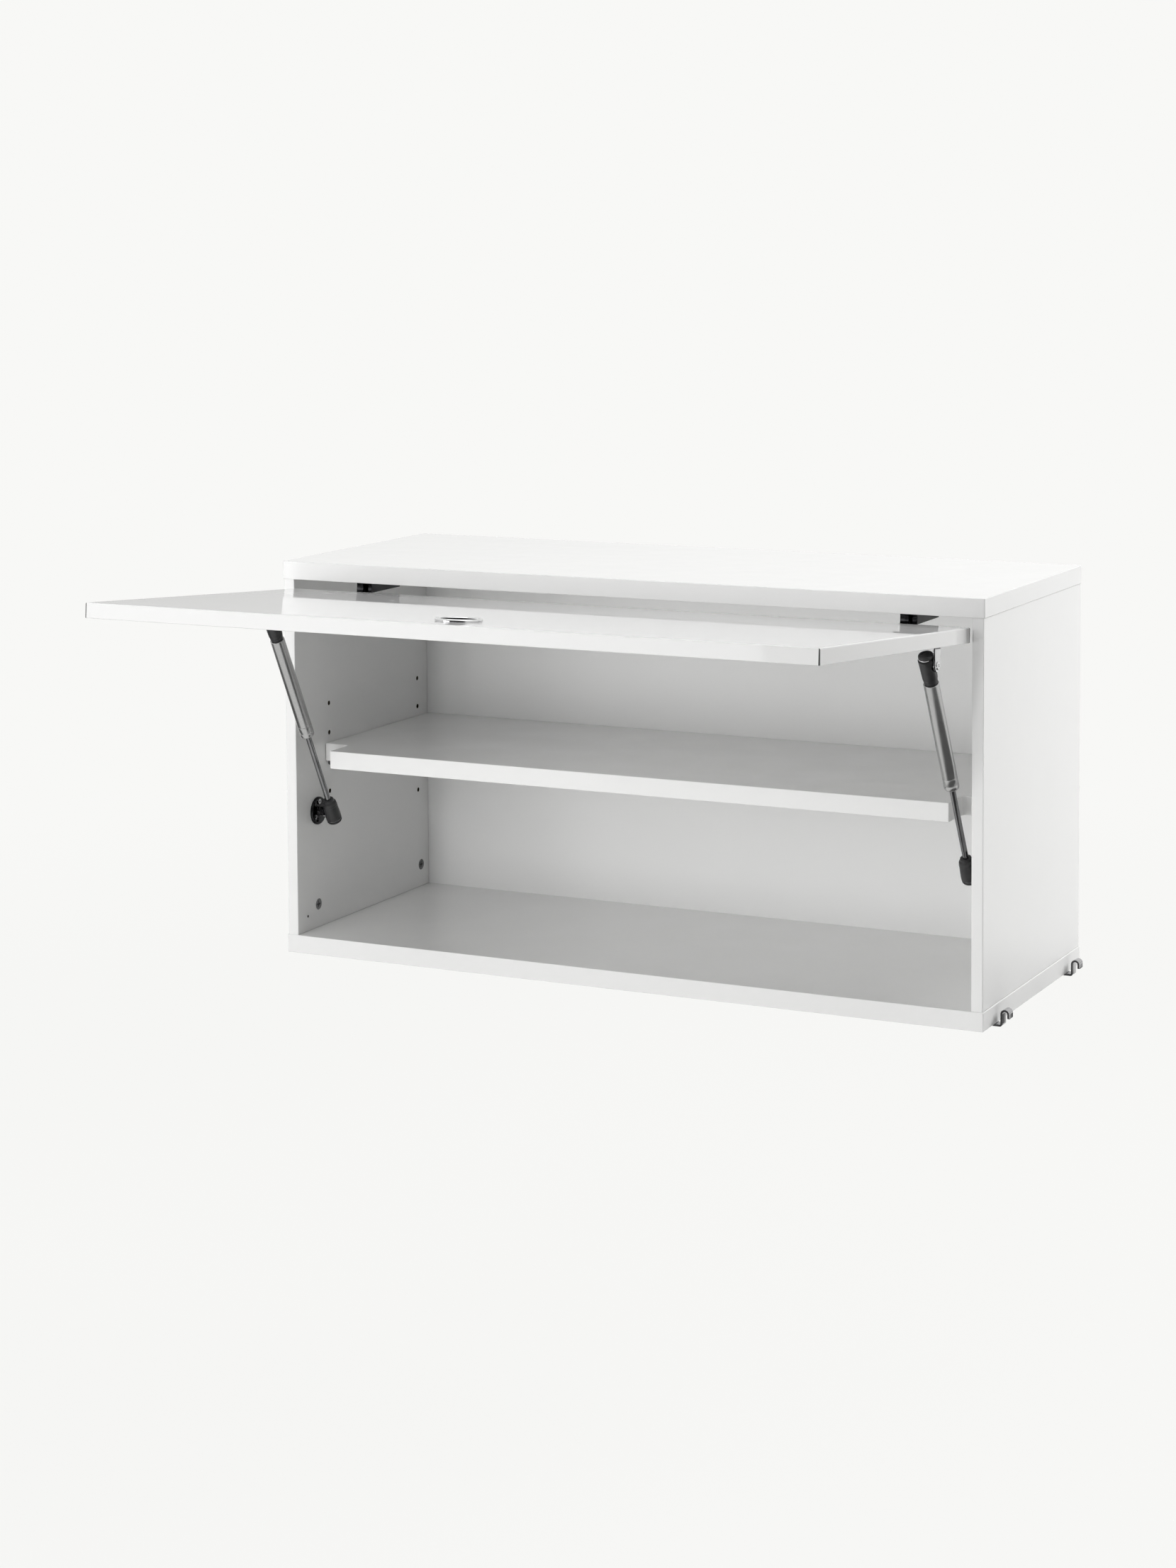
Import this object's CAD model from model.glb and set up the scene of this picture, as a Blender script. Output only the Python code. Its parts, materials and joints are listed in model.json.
"""Finishes, fine pieces, studio and camera for the wall cabinet with a flap door.

Sizes are in millimetres unless a name says otherwise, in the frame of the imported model: x to the
right, y into the wall, z up, with the wall at y = 0 and the underside of the bottom panel at
z = 0. Meshes are worked out as numpy arrays and turned into metres when a piece is made.
"""
import json
import logging
import math
from collections.abc import Callable, Iterator
from contextlib import contextmanager
from dataclasses import dataclass, field
from enum import Enum
from functools import partial, reduce

import bmesh
import bpy
import numpy as np
from mathutils import Matrix, Vector

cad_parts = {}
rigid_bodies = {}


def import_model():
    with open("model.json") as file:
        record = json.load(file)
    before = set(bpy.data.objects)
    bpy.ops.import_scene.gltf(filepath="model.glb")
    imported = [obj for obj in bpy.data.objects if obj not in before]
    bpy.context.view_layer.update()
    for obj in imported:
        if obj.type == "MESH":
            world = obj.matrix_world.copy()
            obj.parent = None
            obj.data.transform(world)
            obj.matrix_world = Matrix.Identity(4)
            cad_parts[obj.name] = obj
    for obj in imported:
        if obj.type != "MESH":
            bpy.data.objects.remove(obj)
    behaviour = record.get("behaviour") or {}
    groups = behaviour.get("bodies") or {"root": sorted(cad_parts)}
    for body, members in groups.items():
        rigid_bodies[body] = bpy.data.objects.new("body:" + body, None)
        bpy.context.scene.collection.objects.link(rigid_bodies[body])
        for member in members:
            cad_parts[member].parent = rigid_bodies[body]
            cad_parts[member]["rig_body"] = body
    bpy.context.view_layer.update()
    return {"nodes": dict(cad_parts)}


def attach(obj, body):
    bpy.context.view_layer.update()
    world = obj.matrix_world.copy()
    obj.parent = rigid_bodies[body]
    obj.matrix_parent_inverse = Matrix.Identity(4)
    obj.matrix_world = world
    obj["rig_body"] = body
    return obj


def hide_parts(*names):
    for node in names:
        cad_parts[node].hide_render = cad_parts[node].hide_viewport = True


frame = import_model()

Pair = tuple[float, float]
Triple = tuple[float, float, float]
Socket = bpy.types.NodeSocket
Layers = tuple[tuple[Socket, Triple], ...]
Held = tuple[tuple[str, float], ...]

LOG = logging.getLogger("cabinet")
METRE = 1000.0
FULL_TURN = 2.0 * math.pi
# In metres: distance at which two points are one, length of an edge that has collapsed, and half
# of the width over which a painted edge fades
MERGE = 2e-6
COLLAPSED = 1e-7
FADE = 1e-4


class Side(Enum):
    """The two ends of the cabinet."""

    RIGHT = 1
    LEFT = -1

    @property
    def word(self) -> str:
        """The end's name as it stands in the names of nodes and bodies."""
        return self.name.lower()


# ------------------------------------------------------------------ shells


@dataclass
class Shell:
    """A surface in millimetres.

    Attributes:
        points: Vertices, one row each.
        faces: Tuples of vertex numbers, turning left as seen from outside.
        normals: Exact vertex normals where they are known, else None.
    """

    points: np.ndarray
    faces: list[tuple[int, ...]]
    normals: np.ndarray | None = None

    def turned(self, matrix: np.ndarray) -> "Shell":
        """The shell turned by a 3 by 3 rotation for column vectors."""
        normals = None if self.normals is None else self.normals @ matrix.T
        return Shell(self.points @ matrix.T, self.faces, normals)

    def moved(self, offset: Triple | np.ndarray) -> "Shell":
        """The shell moved by an offset."""
        return Shell(self.points + np.asarray(offset, float), self.faces, self.normals)

    def mirrored(self) -> "Shell":
        """The shell on the other side of the cabinet's middle plane, still facing outwards."""
        flip = np.array([-1.0, 1.0, 1.0])
        faces = [tuple(reversed(f)) for f in self.faces]
        normals = None if self.normals is None else self.normals * flip
        return Shell(self.points * flip, faces, normals)

    def on(self, side: Side) -> "Shell":
        """The shell as drawn for the right end, or its mirror image for the left end."""
        return self if side is Side.RIGHT else self.mirrored()


def joined(shells: list[Shell]) -> Shell:
    """Puts several shells into one, side by side.

    Args:
        shells: The shells, all with exact normals or all without.

    Returns:
        One shell that holds them all.
    """
    starts = np.cumsum([0] + [len(s.points) for s in shells])
    faces = [tuple(int(i + start) for i in f) for s, start in zip(shells, starts) for f in s.faces]
    exact = all(s.normals is not None for s in shells)
    normals = np.vstack([s.normals for s in shells]) if exact else None
    return Shell(np.vstack([s.points for s in shells]), faces, normals)


def skin(
    points: np.ndarray,
    close_rows: bool = False,
    capped: bool = False,
    normals: np.ndarray | None = None,
) -> Shell:
    """Covers a grid of points, each row of which is a closed ring, with four-sided faces.

    Args:
        points: Rows of points.
        close_rows: Whether the last row joins the first.
        capped: Whether the first and the last row are each filled by one face.
        normals: Exact normals, in rows as the points are.

    Returns:
        The shell.
    """
    rows, cols = points.shape[:2]
    index = np.arange(rows * cols).reshape(rows, cols)
    ends = [index[0, ::-1], index[-1]] if capped else []
    if close_rows:
        index = np.vstack([index, index[:1]])
    index = np.hstack([index, index[:, :1]])
    quads = np.stack([index[:-1, :-1], index[:-1, 1:], index[1:, 1:], index[1:, :-1]], axis=-1)
    faces = [tuple(map(int, face)) for face in [*quads.reshape(-1, 4), *ends]]
    exact = None if normals is None else normals.reshape(-1, 3)
    return Shell(points.reshape(-1, 3), faces, exact)


def rings(section: np.ndarray, segments: int) -> np.ndarray:
    """A ring of points (r cos t, r sin t, h) about +Z for each row (r, h) of a section."""
    turn = np.linspace(0.0, FULL_TURN, segments, endpoint=False)
    r, h = section[:, :1], section[:, 1:]
    return np.stack([r * np.cos(turn), r * np.sin(turn), h + 0.0 * turn], axis=-1)


def lathe(profile: list[Pair], segments: int = 64) -> Shell:
    """A turned piece about +Z.

    Args:
        profile: Radius and height from the bottom's middle to the top's middle. A profile that
            comes back to its start makes a closed ring with a bore.
        segments: Points in each ring.

    Returns:
        The turned shell, whose rings of radius zero are merged when the piece is made.
    """
    closed = profile[0] == profile[-1]
    section = np.array(profile[:-1] if closed else profile, float)
    return skin(rings(section, segments), close_rows=closed)


def arc(centre: Pair, radius: float, start: float, stop: float, steps: int) -> list[Pair]:
    """Points on a circle's arc, (x + r cos a, y + r sin a), for angles in degrees."""
    angles = np.radians(np.linspace(start, stop, steps))
    return [(centre[0] + radius * math.cos(a), centre[1] + radius * math.sin(a)) for a in angles]


@dataclass(frozen=True)
class Outline:
    """A closed outline with rounded corners, and its outward normals.

    Attributes:
        corners: x, y and radius of each corner, turning left.
        steps: Points on each corner's arc.
    """

    corners: tuple[Triple, ...]
    steps: int = 7

    def sampled(self) -> tuple[np.ndarray, np.ndarray]:
        """Points and normals along the outline.

        A corner's arc touches both of its sides, at r tan(half the turn) from the corner, and
        its normal turns evenly from one side's normal to the other's.

        Returns:
            Points and unit normals, one row each.
        """
        spots = np.array([c[:2] for c in self.corners], float)
        into = spots - np.roll(spots, 1, axis=0)
        into /= np.linalg.norm(into, axis=1, keepdims=True)
        out = np.roll(into, -1, axis=0)
        points, normals = [], []
        for (x, y, r), d0, d1 in zip(self.corners, into, out):
            turn = math.atan2(d0[0] * d1[1] - d0[1] * d1[0], float(d0 @ d1))
            sign = 1.0 if turn > 0 else -1.0
            first = math.atan2(-d0[0], d0[1])
            angles = first + turn * np.linspace(0.0, 1.0, self.steps)
            normal = np.stack([np.cos(angles), np.sin(angles)], axis=1)
            reach = r * math.tan(abs(turn) / 2.0)
            n0 = np.array([d0[1], -d0[0]])
            centre = np.array([x, y]) - d0 * reach - n0 * r * sign
            points.append(centre + sign * r * normal)
            normals.append(normal)
        return np.vstack(points), np.vstack(normals)


def slab(outline: Outline, low: float, high: float, roll: float, roll_steps: int = 5) -> Shell:
    """A board with an outline in x and y, whose edges roll over with a small radius.

    Along the roll, at angle a from 0 to 90 degrees, the outline is drawn in by roll (1 - sin a)
    at a height of roll (1 - cos a) above the face.

    Args:
        outline: The board's outline.
        low: Height of the lower face.
        high: Height of the upper face.
        roll: Radius of the edges.
        roll_steps: Rows of points over each edge.

    Returns:
        A closed shell with exact normals.
    """
    flat, out = outline.sampled()
    a = np.radians(np.linspace(0.0, 90.0, roll_steps))
    sin, cos = np.sin(a), np.cos(a)
    side_part, up_part = np.append(sin, sin[::-1]), np.append(-cos, cos[::-1])
    level = np.append(low + roll * (1.0 - cos), high - roll * (1.0 - cos[::-1]))
    points = np.empty((len(level), len(flat), 3))
    points[:, :, :2] = flat - roll * (1.0 - side_part)[:, None, None] * out
    points[:, :, 2] = level[:, None]
    normals = np.empty_like(points)
    normals[:, :, :2] = side_part[:, None, None] * out
    normals[:, :, 2] = up_part[:, None]
    return skin(points, capped=True, normals=normals)


def bent_strip(
    path: np.ndarray, across: np.ndarray, thick: float, half: np.ndarray, edge: float
) -> Shell:
    """A bent sheet with rounded edges, whose width may change along it.

    At each point of a flat path the section is a rectangle of the sheet's thickness by twice
    half, and each of its corners is a quarter circle: (thick / 2 - edge) + edge cos a along the
    path's normal, and (half - edge) + edge sin a across it.

    Args:
        path: Points of the sheet's middle, one row each.
        across: Unit direction at right angles to the path's plane.
        thick: Thickness of the sheet.
        half: Half of the width at each point.
        edge: Radius of the edges.

    Returns:
        A closed shell with flat ends.
    """
    tangent = np.gradient(path, axis=0)
    tangent /= np.linalg.norm(tangent, axis=1, keepdims=True)
    normal = np.cross(across, tangent)
    a = np.radians(np.linspace(0.0, 90.0, 4))
    turns = np.concatenate([a + quarter * math.pi / 2 for quarter in range(4)])
    out = np.where(np.cos(turns + 1e-6) > 0, 1.0, -1.0)
    side = np.where(np.sin(turns + 1e-6) > 0, 1.0, -1.0)
    s = out * (thick / 2 - edge) + edge * np.cos(turns)
    room = np.maximum(half - edge, 0.0)[:, None]
    t = side * room + edge * np.minimum(half[:, None] / edge, 1.0) * np.sin(turns)
    points = path[:, None, :] + s[None, :, None] * normal[:, None, :] + t[:, :, None] * across
    return skin(points, capped=True)


def run_along(path: np.ndarray) -> np.ndarray:
    """Length of a path up to each of its points."""
    return np.append(0.0, np.cumsum(np.linalg.norm(np.diff(path, axis=0), axis=1)))


def corner_inset(distance: np.ndarray, radius: float) -> np.ndarray:
    """How far an edge is drawn in at a distance from its rounded corner's end."""
    left = np.maximum(radius - distance, 0.0)
    return radius - np.sqrt(np.maximum(radius**2 - left**2, 0.0))


def polyline(corners: list[Triple], step: float = 0.6) -> np.ndarray:
    """A flat path with rounded corners.

    Each corner is cut by an arc of its radius that touches both sides, and the straight parts
    between the arcs are sampled evenly.

    Args:
        corners: u, v and radius of each corner; the radius of the two ends isn't used.
        step: Greatest distance between two points.

    Returns:
        Points, one row of u and v each.
    """
    spots = np.array([c[:2] for c in corners], float)
    ways = np.diff(spots, axis=0)
    lengths = np.linalg.norm(ways, axis=1)
    ways /= lengths[:, None]
    points = [spots[:1]]
    for i in range(1, len(corners) - 1):
        before, after, radius = ways[i - 1], ways[i], corners[i][2]
        turn = math.atan2(before[0] * after[1] - before[1] * after[0], float(before @ after))
        reach = radius * math.tan(abs(turn) / 2)
        start = spots[i] - before * reach
        left = np.array([-before[1], before[0]]) * math.copysign(1.0, turn)
        count = max(int(abs(turn) * radius / step), 6) + 1
        a = np.linspace(0.0, abs(turn), count)[:, None]
        bend = start + radius * np.sin(a) * before + radius * (1 - np.cos(a)) * left
        points += [between(points[-1][-1], start, step), bend]
    points.append(between(points[-1][-1], spots[-1], step))
    path = np.vstack(points)
    keep = np.append(True, np.linalg.norm(np.diff(path, axis=0), axis=1) > 1e-6)
    return path[keep]


def between(first: np.ndarray, last: np.ndarray, step: float) -> np.ndarray:
    """Evenly spaced points after the first and up to the last."""
    count = max(int(math.ceil(float(np.linalg.norm(last - first)) / step)), 1)
    return first + (last - first) * (np.arange(1, count + 1) / count)[:, None]


def smooth(value: np.ndarray, low: float, high: float) -> np.ndarray:
    """Rises from 0 at low to 1 at high along 3 t^2 - 2 t^3; it falls where low is above high."""
    t = np.clip((value - low) / (high - low), 0.0, 1.0)
    return t * t * (3.0 - 2.0 * t)


def cross_cut(x: np.ndarray, y: np.ndarray, long: float, wide: float) -> np.ndarray:
    """One inside a cross-shaped recess and zero outside, with soft walls and pointed arms."""
    u, v = np.maximum(np.abs(x), np.abs(y)), np.minimum(np.abs(x), np.abs(y))
    arm = wide / 2 * (1.0 - 0.35 * u / long)
    return smooth(v, arm + 0.12, arm - 0.12) * smooth(u, long + 0.1, long - 0.15)


def relief(
    reach: float,
    height: Callable[[np.ndarray, np.ndarray], np.ndarray],
    rest: list[Pair],
    rows: int = 26,
    segments: int = 72,
) -> Shell:
    """A turned piece about +Z whose upper face follows a height over x and y.

    The face is a polar grid, z = height(r cos t, r sin t), and the rest of the section follows
    from its rim to the axis below.

    Args:
        reach: Radius of the upper face.
        height: Height of the face over arrays of x and y.
        rest: Radius and height of the rest of the section, which ends at radius zero.
        rows: Rings on the upper face.
        segments: Points in each ring.

    Returns:
        The turned shell.
    """
    face = rings(np.column_stack([np.linspace(0.0, reach, rows), np.zeros(rows)]), segments)
    face[..., 2] = height(face[..., 0], face[..., 1])
    return skin(np.concatenate([face, rings(np.array(rest, float), segments)])[::-1])


def rotation_x(degrees: float) -> np.ndarray:
    """Rotation about X by an angle in degrees, for column vectors."""
    c, s = math.cos(math.radians(degrees)), math.sin(math.radians(degrees))
    return np.array([[1.0, 0.0, 0.0], [0.0, c, -s], [0.0, s, c]])


# Turns that take +Z to +X, -X, +Y, -Y and -Z
TO_RIGHT = np.array([[0.0, 0.0, 1.0], [0.0, 1.0, 0.0], [-1.0, 0.0, 0.0]])
TO_LEFT = np.array([[0.0, 0.0, -1.0], [0.0, 1.0, 0.0], [1.0, 0.0, 0.0]])
TO_REAR, TO_FRONT, TO_FLOOR = rotation_x(-90.0), rotation_x(90.0), rotation_x(180.0)


# ------------------------------------------------------------------ finishes


@dataclass(frozen=True)
class Pattern:
    """Cloudy noise between 0 and 1.

    Attributes:
        scale: Features per metre, the same every way or along x, y and z.
        detail: Number of its finer octaves.
    """

    scale: float | Triple
    detail: float


def metres(numbers: tuple[float, ...]) -> tuple[float, ...]:
    """Lengths in metres of lengths in millimetres."""
    return tuple(number / METRE for number in numbers)


def around(mark: float) -> Pair:
    """The range in metres over which a painted edge at a mark fades."""
    return mark / METRE - FADE, mark / METRE + FADE


class Tree:
    """Short hand for building a node tree."""

    def __init__(self, tree: bpy.types.NodeTree) -> None:
        """Works on a tree."""
        self.tree = tree

    @classmethod
    def blank(cls, owner: bpy.types.World | bpy.types.Material) -> "Tree":
        """Works on the emptied tree of a world or a material."""
        owner.use_nodes = True
        owner.node_tree.nodes.clear()
        return cls(owner.node_tree)

    def feed(self, node: bpy.types.Node, inputs: dict[int | str, object]) -> None:
        """Feeds a node.

        Args:
            node: The node.
            inputs: For each input, the output that is linked to it or the value that it holds.
        """
        for key, value in inputs.items():
            if isinstance(value, Socket):
                self.tree.links.new(value, node.inputs[key])
            else:
                node.inputs[key].default_value = value

    def add(
        self, kind: str, inputs: dict[int | str, object] | None = None, **settings: object
    ) -> bpy.types.Node:
        """Adds a node.

        Args:
            kind: Its type without the prefix that all shader nodes have.
            inputs: What its inputs are fed with.
            settings: Its properties.

        Returns:
            The node.
        """
        node = self.tree.nodes.new("ShaderNode" + kind)
        for key, value in settings.items():
            setattr(node, key, value)
        self.feed(node, inputs or {})
        return node

    def math(self, operation: str, *values: Socket | float) -> Socket:
        """What an operation makes of one or two numbers."""
        return self.add("Math", dict(enumerate(values)), operation=operation).outputs[0]

    def vector(self, operation: str, *values: Socket | Triple) -> Socket:
        """What an operation makes of one or two vectors: a vector, or else a number."""
        node = self.add("VectorMath", dict(enumerate(values)), operation=operation)
        number = operation in ("LENGTH", "DISTANCE", "DOT_PRODUCT")
        return node.outputs["Value" if number else "Vector"]

    def parts(self, vector: Socket) -> bpy.types.NodeOutputs:
        """X, Y and Z of a vector."""
        return self.add("SeparateXYZ", {0: vector}).outputs

    def greatest(self, *values: Socket) -> Socket:
        """The greatest of several numbers."""
        return reduce(partial(self.math, "MAXIMUM"), values)

    def rays(self, *kinds: str) -> Socket:
        """One for rays of any of the kinds, zero for the rest."""
        path = self.add("LightPath").outputs
        return self.greatest(*(path[f"Is {kind} Ray"] for kind in kinds))

    def ranged(
        self, source: Socket, low: float, high: float, cut: Pair = (0.3, 0.7), soft: bool = False
    ) -> Socket:
        """Maps a value from one range to another, beyond whose limits it doesn't go.

        Args:
            source: The value.
            low: What the start of the cut range becomes.
            high: What its end becomes.
            cut: The range of the value that is mapped.
            soft: Whether it sets off and arrives softly.

        Returns:
            The mapped value.
        """
        limits = zip(("From Min", "From Max", "To Min", "To Max"), (*cut, low, high))
        way = "SMOOTHSTEP" if soft else "LINEAR"
        inputs = {"Value": source, **dict(limits)}
        return self.add("MapRange", inputs, interpolation_type=way).outputs["Result"]

    def mixed(self, factor: Socket, first: Socket | Triple, second: Triple) -> Socket:
        """Mixes two colours.

        Args:
            factor: Share of the second colour.
            first: The first colour, plain or already mixed.
            second: The second colour.

        Returns:
            The mixed colour.
        """
        start = first if isinstance(first, Socket) else (*first, 1.0)
        inputs = {0: factor, 6: start, 7: (*second, 1.0)}
        return self.add("Mix", inputs, data_type="RGBA").outputs[2]


class Nodes(Tree):
    """The tree of a material, with a Principled shader and Object coordinates."""

    def __init__(self, name: str) -> None:
        """Starts a material.

        Args:
            name: Name of the material.
        """
        self.material = bpy.data.materials.new(name)
        self.material.use_nodes = True
        super().__init__(self.material.node_tree)
        self.shader = self.tree.nodes["Principled BSDF"]
        self.coords = self.add("TexCoord").outputs["Object"]
        self.drawn: dict[Pattern, Socket] = {}

    def noise(self, pattern: Pattern) -> Socket:
        """Noise after a pattern, which is drawn once however often it is used."""
        if pattern not in self.drawn:
            coords, scale = self.coords, pattern.scale
            if isinstance(scale, tuple):
                stretch = self.add("Mapping", {"Scale": scale, "Vector": coords})
                coords, scale = stretch.outputs["Vector"], 1.0
            inputs = {"Scale": scale, "Detail": pattern.detail, "Vector": coords}
            self.drawn[pattern] = self.add("TexNoise", inputs).outputs["Fac"]
        return self.drawn[pattern]


@dataclass(frozen=True)
class Coat:
    """A finish whose colour, roughness and relief each follow a pattern.

    Attributes:
        name: Name of the material.
        color: Its colour.
        shade: The colour that it wanders to where it is thin, dull or rubbed.
        gloss: Lowest and highest roughness.
        clouds: Pattern of the colour.
        haze: Pattern of the roughness.
        grain: Pattern of the relief.
        depth_mm: Depth of the relief.
        strength: Share of the relief that shows.
        held: The shader's inputs that are the same all over.
    """

    name: str
    color: Triple
    shade: Triple
    gloss: Pair
    clouds: Pattern
    haze: Pattern
    grain: Pattern
    depth_mm: float
    strength: float
    held: Held

    def layers(self, n: Nodes) -> Layers:
        """Colours that are laid over the first one, each with its share."""
        return ()

    def made(self) -> bpy.types.Material:
        """Builds the material."""
        n = Nodes(self.name)
        color = n.mixed(n.ranged(n.noise(self.clouds), 0.0, 1.0), self.color, self.shade)
        for share, over in self.layers(n):
            color = n.mixed(share, color, over)
        bump = n.add("Bump", {
            "Height": n.noise(self.grain),
            "Distance": self.depth_mm / METRE,
            "Strength": self.strength,
        })
        n.feed(n.shader, {
            "Base Color": color,
            "Roughness": n.ranged(n.noise(self.haze), *self.gloss),
            "Normal": bump.outputs["Normal"],
            **dict(self.held),
        })
        return n.material


@dataclass(frozen=True)
class Lacquer(Coat):
    """Sprayed lacquer: an even colour over a faint orange peel, hazed a little by handling."""

    clouds: Pattern = Pattern(3.5, 5.0)
    haze: Pattern = Pattern(9.0, 4.0)
    grain: Pattern = Pattern(420.0, 2.0)
    depth_mm: float = 0.004
    strength: float = 0.5
    held: Held = (("IOR", 1.5), ("Specular IOR Level", 0.5))


@dataclass(frozen=True)
class Plated(Coat):
    """Plated or polished metal with fine rub marks and a wandering haze."""

    clouds: Pattern = Pattern(60.0, 4.0)
    haze: Pattern = Pattern((900.0, 900.0, 900.0), 4.0)
    grain: Pattern = Pattern((900.0, 900.0, 900.0), 4.0)
    depth_mm: float = 0.002
    strength: float = 0.6
    held: Held = (("Metallic", 1.0),)


@dataclass(frozen=True)
class Sprayed(Coat):
    """Metal-flake paint: a fine sparkle of light and dark flakes under a satin coat."""

    clouds: Pattern = Pattern(2600.0, 2.0)
    haze: Pattern = Pattern(55.0, 5.0)
    grain: Pattern = Pattern(2600.0, 2.0)
    depth_mm: float = 0.003
    strength: float = 0.4
    held: Held = (("Metallic", 0.92),)


@dataclass(frozen=True)
class Moulded(Coat):
    """Moulded plastic with a fine spark-eroded grain."""

    clouds: Pattern = Pattern(120.0, 4.0)
    haze: Pattern = Pattern(240.0, 3.0)
    grain: Pattern = Pattern(1900.0, 3.0)
    depth_mm: float = 0.03
    strength: float = 0.35
    held: Held = (("IOR", 1.49),)


@dataclass(frozen=True)
class Timber(Coat):
    """Planed softwood whose rings run along the length."""

    clouds: Pattern = Pattern((3.0, 260.0, 90.0), 6.0)
    haze: Pattern = Pattern((60.0, 1800.0, 1800.0), 3.0)
    grain: Pattern = Pattern((60.0, 1800.0, 1800.0), 3.0)
    depth_mm: float = 0.06
    strength: float = 0.6
    held: Held = ()


@dataclass(frozen=True)
class EdgeBanded(Lacquer):
    """The flap's lacquer, its greyer edge banding and the banding's dark glue joints.

    Attributes:
        band: Colour of the edge banding.
        thickness: Depth that the banding reaches from the ends and from the free edge.
        half: Half of the flap's width.
        ends: y of the free edge and of the hinged edge of the open flap.
        joint: Width of the joint at each of them.
        joint_end: Width of the joint at the flap's ends.
        glue: Colour of the joint.
    """

    band: Triple = (0.76, 0.76, 0.755)
    thickness: Pair = (0.6, 2.0)
    half: float = 377.0
    ends: Pair = (-674.0, -299.0)
    joint: Pair = (1.0, 2.2)
    joint_end: float = 1.0
    glue: Triple = (0.05, 0.05, 0.05)

    def layers(self, n: Nodes) -> Layers:
        """The banding of the two ends and the free edge, and the glue at the flap's corners."""
        parts = n.parts(n.coords)
        across = n.math("ABSOLUTE", parts["X"])

        def near(part: Socket, mark: float, width: float, sign: float = 1.0) -> Socket:
            """One where sign times a coordinate comes within a width of sign times a mark."""
            return n.ranged(n.math("MULTIPLY", part, sign), 0.0, 1.0, around(sign * mark - width))

        side, front = self.thickness
        banding = n.greatest(
            near(across, self.half, side), near(parts["Y"], self.ends[0], front, -1.0))
        corner = near(across, self.half, self.joint_end)
        joints = n.greatest(*(
            n.math("MULTIPLY", corner, near(parts["Y"], end, width, sign))
            for end, width, sign in zip(self.ends, self.joint, (-1.0, 1.0))))
        return (banding, self.band), (joints, self.glue)


@dataclass(frozen=True)
class Bored(Lacquer):
    """The sides' lacquer, with the bare board that shows on the walls of their holes.

    Attributes:
        middle: Middle of the box that only walls of holes lie in, with x and y taken as
            distances from the cabinet's middle and its back.
        half: Half of that box's size.
        bare: Colour of the bare board in the dark of a hole.
    """

    middle: Triple = (385.0, 149.5, 210.0)
    half: Triple = (5.65, 148.0, 189.5)
    bare: Triple = (0.06, 0.045, 0.03)

    def layers(self, n: Nodes) -> Layers:
        """The bare board inside the box, which lies on both sides of the cabinet."""
        away = n.vector("SUBTRACT", n.vector("ABSOLUTE", n.coords), metres(self.middle))
        parts = n.parts(n.vector("SUBTRACT", n.vector("ABSOLUTE", away), metres(self.half)))
        beyond = n.greatest(parts["X"], parts["Y"], parts["Z"])
        return ((n.math("LESS_THAN", beyond, 0.0), self.bare),)


@dataclass(frozen=True)
class Bezel(Plated):
    """The pull's plating, which is left dull and dark on the wall of its bore.

    Attributes:
        top: A point on the bore's axis with the flap open.
        axis: The axis's direction.
        reach: Radius within which the wall is dark.
        dark: Colour of the wall.
    """

    top: Triple = (0.0, -623.97, 420.0)
    axis: Triple = (0.0, 0.0785, 0.9969)
    reach: float = 17.3
    dark: Triple = (0.035, 0.035, 0.037)

    def layers(self, n: Nodes) -> Layers:
        """The dark within the reach of the axis."""
        away = n.vector("SUBTRACT", n.coords, metres(self.top))
        radius = n.vector("LENGTH", n.vector("CROSS_PRODUCT", away, self.axis))
        return ((n.ranged(radius, 1.0, 0.0, around(self.reach)), self.dark),)


@dataclass(frozen=True)
class Sheared(Plated):
    """Plating of a strip of sheet metal, which is dark on the strip's sheared edges.

    The coordinate along one axis is folded over at each place in turn, so that one rule serves
    all strips; what is left is the distance from a strip's middle.

    Attributes:
        along: The axis, X or Y.
        places: Where the coordinate is folded over.
        ramp: Distances at which the dark begins and is full.
        cut: Colour of the sheared edges.
    """

    along: str = "Y"
    places: Pair = (-150.0, 110.0)
    ramp: Pair = (5.7, 5.9)
    cut: Triple = (0.05, 0.05, 0.052)

    def layers(self, n: Nodes) -> Layers:
        """The dark on the sheared edges."""
        value = n.parts(n.coords)[self.along]
        for place in metres(self.places):
            value = n.math("ABSOLUTE", n.math("SUBTRACT", value, place))
        return ((n.ranged(value, 0.0, 1.0, metres(self.ramp)), self.cut),)


WHITE = (0.86, 0.86, 0.855), (0.845, 0.845, 0.84)
BRIGHT = (0.78, 0.78, 0.79), (0.70, 0.70, 0.71)
DRAWN = Pattern((300.0, 2400.0, 300.0), 4.0)


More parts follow.
